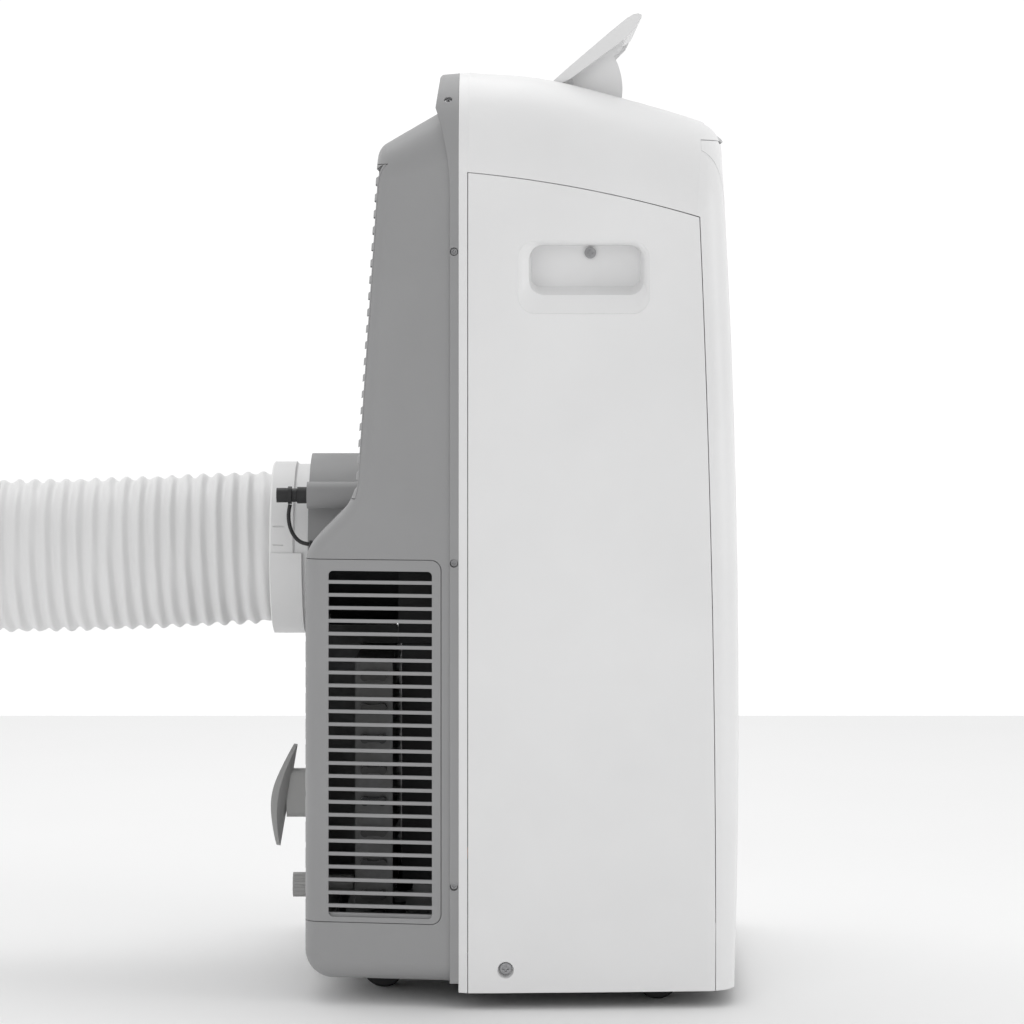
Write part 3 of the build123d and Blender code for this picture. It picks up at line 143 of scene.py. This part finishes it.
# ---- materials ----
def moulded_plastic(name, colour, rough, grain=0.25, grain_scale=1400.0, edge=0.0006, spread=0.03,
                    coat=0.0):
    """Injection-moulded plastic: fine spark-eroded grain, slow drifts of tone and gloss, rounded edges."""
    material, tree, shader = new_material(name)
    coords = object_coords(tree)
    drift = noise(tree, coords, 9.0, 4.0)
    fine = noise(tree, coords, grain_scale, 2.0)
    colour_out = mix_colours(tree, map_range(tree, drift, 0.0, 1.0),
                             tint(colour, 1.0 - spread), tint(colour, 1.0 + spread * 0.4))
    tree.links.new(colour_out, shader.inputs["Base Color"])
    gloss = map_range(tree, noise(tree, coords, 45.0, 5.0), rough - 0.04, rough + 0.05)
    tree.links.new(gloss, shader.inputs["Roughness"])
    normal = bump(tree, fine, grain, 0.00012, rounded_normal(tree, edge))
    tree.links.new(normal, shader.inputs["Normal"])
    shader.inputs["IOR"].default_value = 1.49
    shader.inputs["Coat Weight"].default_value = coat
    shader.inputs["Coat Roughness"].default_value = 0.25
    return material


def rubber(name, colour):
    """Matt rubber with a cloudy bloom."""
    material, tree, shader = new_material(name)
    coords = object_coords(tree)
    bloom = noise(tree, coords, 160.0, 5.0, 0.6)
    tree.links.new(mix_colours(tree, map_range(tree, bloom, 0.0, 1.0), tint(colour, 0.7), tint(colour, 1.5)),
                   shader.inputs["Base Color"])
    tree.links.new(map_range(tree, bloom, 0.42, 0.62), shader.inputs["Roughness"])
    fine = noise(tree, coords, 2600.0, 2.0)
    tree.links.new(bump(tree, fine, 0.3, 0.0001, rounded_normal(tree, 0.0005)), shader.inputs["Normal"])
    return material


def metal(name, colour, rough, stretch=(1.0, 1.0, 40.0), edge=0.0004):
    """Drawn or rolled metal with a fine grain along one direction."""
    material, tree, shader = new_material(name)
    mapping = add_node(tree, "ShaderNodeMapping")
    mapping.inputs["Scale"].default_value = stretch
    tree.links.new(object_coords(tree), mapping.inputs["Vector"])
    grain = noise(tree, mapping.outputs["Vector"], 60.0, 6.0, 0.65)
    tree.links.new(mix_colours(tree, map_range(tree, grain, 0.0, 1.0), tint(colour, 0.82), tint(colour, 1.1)),
                   shader.inputs["Base Color"])
    tree.links.new(map_range(tree, grain, rough - 0.08, rough + 0.12), shader.inputs["Roughness"])
    shader.inputs["Metallic"].default_value = 1.0
    tree.links.new(bump(tree, grain, 0.12, 0.0002, rounded_normal(tree, edge)), shader.inputs["Normal"])
    return material


def enamel(name, colour, rough):
    """Stoved paint with a slight orange peel."""
    return moulded_plastic(name, colour, rough, grain=0.35, grain_scale=420.0, coat=0.4)


def coil_fins(name):
    """Packed aluminium fins, seen as fine upright stripes under a little dust; the dark stripes are painted
    shade in the gaps between the fins, and the fins' tone is darkened as painted shade for the inside of the
    unit.
    """
    material, tree, shader = new_material(name)
    coords = object_coords(tree)
    stripes = add_node(tree, "ShaderNodeTexWave", wave_type="BANDS", bands_direction="X", Scale=170.0,
                       Distortion=0.15, Detail=1.0)
    tree.links.new(coords, stripes.inputs["Vector"])
    dust = noise(tree, coords, 30.0, 4.0)
    # the darker colour is painted shade between the fins; the lighter one is the fin tone, darkened as
    # painted shade
    dark = (0.03, 0.031, 0.033, 1.0)
    light = (0.34, 0.345, 0.35, 1.0)
    fins = mix_colours(tree, stripes.outputs["Fac"], dark, light)
    dusted = add_node(tree, "ShaderNodeMix", data_type="RGBA")
    tree.links.new(map_range(tree, dust, 0.0, 0.35), dusted.inputs["Factor"])
    tree.links.new(fins, dusted.inputs["A"])
    dusted.inputs["B"].default_value = (0.16, 0.155, 0.145, 1.0)
    tree.links.new(dusted.outputs["Result"], shader.inputs["Base Color"])
    shader.inputs["Metallic"].default_value = 0.85
    tree.links.new(map_range(tree, dust, 0.35, 0.55), shader.inputs["Roughness"])
    tree.links.new(bump(tree, stripes.outputs["Fac"], 0.8, 0.0008), shader.inputs["Normal"])
    return material


def woven_net(name):
    """A filter net: two crossed sets of dark threads; the squares between them are darker still, painted
    shade in the gaps of the weave.
    """
    material, tree, shader = new_material(name)
    coords = object_coords(tree)
    threads = []
    for direction in ("X", "Z"):
        wave = add_node(tree, "ShaderNodeTexWave", wave_type="BANDS", bands_direction=direction,
                        Scale=210.0, Distortion=0.0)
        tree.links.new(coords, wave.inputs["Vector"])
        threads.append(wave.outputs["Fac"])
    cross = add_node(tree, "ShaderNodeMath", operation="MAXIMUM")
    tree.links.new(threads[0], cross.inputs[0])
    tree.links.new(threads[1], cross.inputs[1])
    # the threads keep the net's near-black; the squares between them take the darker colour as painted shade
    tree.links.new(mix_colours(tree, cross.outputs[0], (0.012, 0.012, 0.013, 1), (0.07, 0.07, 0.075, 1)),
                   shader.inputs["Base Color"])
    tree.links.new(map_range(tree, cross.outputs[0], 0.5, 0.8, 0.0, 1.0), shader.inputs["Roughness"])
    tree.links.new(bump(tree, cross.outputs[0], 0.6, 0.0004), shader.inputs["Normal"])
    return material


def smoked_glass(name):
    """The dark glossy window over the display."""
    material, tree, shader = new_material(name)
    coords = object_coords(tree)
    haze = noise(tree, coords, 90.0, 4.0)
    tree.links.new(mix_colours(tree, haze, (0.012, 0.013, 0.015, 1), (0.03, 0.032, 0.036, 1)),
                   shader.inputs["Base Color"])
    tree.links.new(map_range(tree, haze, 0.06, 0.14), shader.inputs["Roughness"])
    shader.inputs["Coat Weight"].default_value = 0.8
    return material


WHITE = (0.86, 0.86, 0.862)
MATERIALS = {
    "white_body": moulded_plastic("white_moulded", WHITE, 0.36, grain=0.10, coat=0.15),
    "control_strip": moulded_plastic("control_strip_white", (0.80, 0.80, 0.805), 0.24, grain=0.05, coat=0.4),
    "display": smoked_glass("smoked_window"),
    "button_cap": moulded_plastic("button_white", (0.72, 0.72, 0.73), 0.30, grain=0.1),
    "circuit_board": moulded_plastic("board_green", (0.02, 0.12, 0.05), 0.45, grain=0.5, grain_scale=300.0),
    # the rear housing's grey is the white plastic darkened: painted shade for its sides, which turn away from
    # the front key
    "rear_plastic": moulded_plastic("rear_grey_painted_shade", (0.33, 0.33, 0.334), 0.46, grain=0.45,
                                    grain_scale=900.0, spread=0.04),
    "filter_net": woven_net("filter_net"),
    "gear_plastic": moulded_plastic("gear_natural", (0.78, 0.78, 0.75), 0.42, grain=0.1),
    "duct_plastic": moulded_plastic("duct_dark", (0.02, 0.02, 0.022), 0.6, grain=0.5, grain_scale=500.0),
    "fan_plastic": moulded_plastic("fan_black", (0.012, 0.012, 0.013), 0.5, grain=0.3),
    "base_plastic": moulded_plastic("base_dark", (0.035, 0.035, 0.037), 0.6, grain=0.5, grain_scale=500.0),
    "hose_plastic": moulded_plastic("hose_white", (0.84, 0.84, 0.84), 0.40, grain=0.15, grain_scale=500.0),
    "black_rubber": rubber("black_rubber", (0.018, 0.018, 0.019)),
    "grey_fitting": moulded_plastic("fitting_grey", (0.40, 0.40, 0.395), 0.36, grain=0.15),
    "castor_plastic": moulded_plastic("castor_black", (0.012, 0.012, 0.013), 0.42, grain=0.3),
    "castor_tread": rubber("castor_tread", (0.02, 0.02, 0.021)),
    "coil_fins": coil_fins("aluminium_fins_painted_shade"),
    "motor_steel": metal("zinc_plate", (0.55, 0.56, 0.57), 0.38),
    "compressor_paint": enamel("black_enamel", (0.010, 0.010, 0.011), 0.35),
    "copper": metal("copper_tube", (0.72, 0.33, 0.18), 0.30),
    "capacitor_case": moulded_plastic("capacitor_case", (0.55, 0.55, 0.54), 0.4),
    "pump_plastic": moulded_plastic("pump_white", (0.66, 0.66, 0.64), 0.42),
    "screw_steel": metal("screw_steel", (0.42, 0.42, 0.43), 0.34, stretch=(1, 1, 1)),
}


def dress_cad_nodes():
    """Gives each CAD node the material of its slot."""
    for entry in frame["record"]["subparts"]:
        node = NODES[entry["node"]]
        node.data.materials.clear()
        node.data.materials.append(MATERIALS[entry["material_slot"]])


# ---- mesh helpers ----
def mesh_object(name, verts, faces, material, smooth=True):
    mesh = bpy.data.meshes.new(name)
    mesh.from_pydata(verts, [], faces)
    mesh.validate()
    mesh.update()
    if smooth:
        mesh.polygons.foreach_set("use_smooth", [True] * len(mesh.polygons))
    piece = bpy.data.objects.new(name, mesh)
    bpy.context.scene.collection.objects.link(piece)
    mesh.materials.append(material)
    return piece


# ---- the exhaust hose ----
HOSE_FOLDS = 20
HOSE_POINTS_PER_FOLD = 10
HOSE_STEPS = 160
HOSE_FOLD_DEPTH = 0.0034
HOSE_SKIN = 0.0009
HOSE_CLEARANCE = 0.0004              # keeps the crests inside the CAD solid
HOSE_CRUSH = 0.0008                  # unevenness of the folds
HOSE_CALM = 12.0                     # the folds fade out over a twelfth of the length at each end
HOSE_LENGTH = HOSE_HIGH.y - HOSE_LOW.y


def hose_point(angle, share, inset):
    """A point of the bellows: its folds run round as a helix, and its line sags towards the nozzle."""
    turn = angle / (2 * math.pi)
    phase = (share * HOSE_FOLDS + turn) % 1.0
    ridge = 1.0 - abs(2.0 * phase - 1.0)
    height = ridge - 0.09 * math.sin(2 * math.pi * ridge)
    calm = min(1.0, HOSE_CALM * share, HOSE_CALM * (1.0 - share))
    crush = HOSE_CRUSH * math.sin(5.1 * share * HOSE_FOLDS + 2.0 * math.sin(2 * angle)) * calm
    fold = HOSE_FOLD_DEPTH * (1.0 - height * calm)
    radius = HOSE_CREST - HOSE_CLEARANCE - fold + min(crush, 0.0) - inset
    sag = (NOZZLE_AXIS_Z - HOSE_AXIS_Z) * math.sin(share * math.pi / 2)
    y = HOSE_LOW.y + HOSE_LENGTH * share
    return radius * math.cos(angle), y, HOSE_AXIS_Z + sag + radius * math.sin(angle)


def build_hose():
    """A blown bellows hose with a thin even skin."""
    verts = []
    faces = []
    rings = HOSE_FOLDS * HOSE_POINTS_PER_FOLD
    shares = [index / rings for index in range(rings + 1)]
    outline = [(share, 0.0) for share in shares] + [(share, HOSE_SKIN) for share in reversed(shares)]
    for share, inset in outline:
        for step in range(HOSE_STEPS):
            verts.append(hose_point(2 * math.pi * step / HOSE_STEPS, share, inset))
    for ring in range(len(outline)):
        here = ring * HOSE_STEPS
        there = (ring + 1) % len(outline) * HOSE_STEPS
        for step in range(HOSE_STEPS):
            after = (step + 1) % HOSE_STEPS
            faces.append((here + step, here + after, there + after, there + step))
    hose = mesh_object("bellows_hose", verts, faces, MATERIALS["hose_plastic"])
    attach(hose, "hose_connector")
    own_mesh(hose)
    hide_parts("exhaust_hose")


# ---- dark strip between the condenser's divider and the exhaust duct, painted shade that blocks light ----
SHADE_BLOCKER_LOW = Vector((-1.5, 97.0, 283.7)) * MM
SHADE_BLOCKER_HIGH = Vector((1.5, 155.6, 285.2)) * MM


def build_shade_blocker():
    """A near-black strip that keeps light from coming through under the duct; its dark colour is painted
    shade for the inside of the unit.
    """
    verts = [(x, y, z) for x in (SHADE_BLOCKER_LOW.x, SHADE_BLOCKER_HIGH.x) for y in (SHADE_BLOCKER_LOW.y, SHADE_BLOCKER_HIGH.y)
             for z in (SHADE_BLOCKER_LOW.z, SHADE_BLOCKER_HIGH.z)]
    faces = [(0, 1, 3, 2), (4, 6, 7, 5), (0, 4, 5, 1), (2, 3, 7, 6), (0, 2, 6, 4), (1, 5, 7, 3)]
    shade_blocker = mesh_object("duct_shade_blocker", verts, faces, MATERIALS["duct_plastic"], smooth=False)
    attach(shade_blocker, "cabinet")


# ---- drain plug leash ----
STUB_LOW, STUB_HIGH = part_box("drain_plug")
STUB_X = (STUB_LOW.x + STUB_HIGH.x) / 2
STUB_Z = (STUB_LOW.z + STUB_HIGH.z) / 2
LEASH_ROUTE = [
    (STUB_X, 0.182, STUB_Z - 0.0077),
    (STUB_X + 0.0008, 0.1834, STUB_Z - 0.014),
    (STUB_X + 0.0015, 0.1832, STUB_Z - 0.022),
    (STUB_X + 0.0018, 0.181, STUB_Z - 0.030),
    (STUB_X + 0.0015, 0.1766, STUB_Z - 0.0365),
    (STUB_X + 0.0008, 0.1714, STUB_Z - 0.0396),
    (STUB_X, 0.1665, STUB_Z - 0.0402),
]
LEASH_DIAMETER = 0.0032
LEASH_SIDES = 16


def curve_points(points):
    """Points read from the smooth curve that a cord's route controls."""
    curve = bpy.data.curves.new("route", "CURVE")
    curve.dimensions = "3D"
    spline = curve.splines.new("NURBS")
    spline.points.add(len(points) - 1)
    for target, point in zip(spline.points, points):
        target.co = (*point, 1.0)
    spline.order_u = 3
    spline.use_endpoint_u = True
    curve.resolution_u = 8
    holder = bpy.data.objects.new("route", curve)
    mesh = bpy.data.meshes.new_from_object(holder)
    result = [vertex.co.copy() for vertex in mesh.vertices]
    bpy.data.objects.remove(holder)
    bpy.data.meshes.remove(mesh)
    return result


def build_leash():
    """A round rubber tube along the leash's route."""
    path = curve_points(LEASH_ROUTE)
    sides = LEASH_SIDES
    radius = LEASH_DIAMETER / 2
    verts = []
    faces = []
    across = Vector((1, 0, 0))
    for index, point in enumerate(path):
        before = path[max(index - 1, 0)]
        after = path[min(index + 1, len(path) - 1)]
        along = (after - before).normalized()
        up = along.cross(across).normalized()
        for side in range(sides):
            angle = 2 * math.pi * side / sides
            verts.append(point + radius * (math.cos(angle) * across + math.sin(angle) * up))
    for ring in range(len(path) - 1):
        for side in range(sides):
            a = ring * sides + side
            b = ring * sides + (side + 1) % sides
            faces.append((a, b, b + sides, a + sides))
    faces.append(tuple(reversed(range(sides))))
    faces.append(tuple(range(len(verts) - sides, len(verts))))
    leash = mesh_object("plug_leash", verts, faces, MATERIALS["black_rubber"])
    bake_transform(leash)
    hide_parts("drain_leash")


# ---- stage ----
FLOOR_X = (-4.0, 1.9)
FLOOR_HALF_Y = 4.0


def build_stage():
    """A matt pale floor."""
    floor = bpy.data.meshes.new("floor")
    near, far = FLOOR_X
    right, left = -FLOOR_HALF_Y, FLOOR_HALF_Y
    corners = [(near, right, 0), (far, right, 0), (far, left, 0), (near, left, 0)]
    floor.from_pydata(corners, [], [(0, 1, 2, 3)])
    piece = bpy.data.objects.new("floor", floor)
    bpy.context.scene.collection.objects.link(piece)
    material, tree, shader = new_material("studio_white")
    coords = object_coords(tree)
    tone = mix_colours(tree, noise(tree, coords, 3.0), (0.93, 0.93, 0.93, 1), (0.95, 0.95, 0.95, 1))
    tree.links.new(tone, shader.inputs["Base Color"])
    shader.inputs["Roughness"].default_value = 0.9
    shader.inputs["Specular IOR Level"].default_value = 0.0
    floor.materials.append(material)


LIGHT_TARGET = Vector((0.0, 0.0, 0.4))


def area_light(name, place, size, power):
    """A rectangular light aimed at the middle of the unit."""
    light = bpy.data.lights.new(name, "AREA")
    light.shape = "RECTANGLE"
    light.size, light.size_y = size
    light.energy = power
    holder = bpy.data.objects.new(name, light)
    holder.location = place
    holder.rotation_euler = (LIGHT_TARGET - Vector(place)).to_track_quat("-Z", "Y").to_euler()
    bpy.context.scene.collection.objects.link(holder)


WORLD_DIM = 0.62                     # strength of the world towards -X
WORLD_BRIGHT = 1.05                  # and towards +X, behind the unit


def build_world():
    """A white room that is dimmer on the side that the unit's left faces."""
    world = bpy.data.worlds.new("studio")
    bpy.context.scene.world = world
    world.use_nodes = True
    tree = world.node_tree
    background = tree.nodes["Background"]
    direction = add_node(tree, "ShaderNodeTexCoord").outputs["Generated"]
    split = add_node(tree, "ShaderNodeSeparateXYZ")
    tree.links.new(direction, split.inputs["Vector"])
    side = map_range(tree, split.outputs["X"], WORLD_DIM, WORLD_BRIGHT, -0.25, 0.6)
    tree.links.new(side, background.inputs["Strength"])
    background.inputs["Color"].default_value = (1.0, 1.0, 1.0, 1.0)


def build_lights():
    build_world()
    area_light("front_key", (-1.2, -3.0, 1.0), (1.2, 1.8), 12)
    area_light("hose_fill", (-2.6, 1.4, 1.2), (1.4, 1.4), 7)
    area_light("top_soft", (0.8, 0.4, 2.8), (2.0, 2.0), 16)


def build_camera():
    """A level camera, square to the unit's left side."""
    camera = bpy.data.cameras.new("camera")
    camera.lens = LENS_MM
    camera.sensor_width = SENSOR_MM
    camera.shift_y = VIEW_SHIFT_Y
    camera.clip_end = 50.0
    holder = bpy.data.objects.new("camera", camera)
    holder.location = (-CAMERA_DISTANCE, 0.0, CAMERA_HEIGHT)
    holder.rotation_euler = (math.radians(90), 0.0, math.radians(-90))
    bpy.context.scene.collection.objects.link(holder)
    bpy.context.scene.camera = holder


build_camera()
dress_cad_nodes()
build_leash()
build_hose()
build_shade_blocker()
build_stage()
build_lights()
bpy.context.scene.view_settings.view_transform = "Standard"
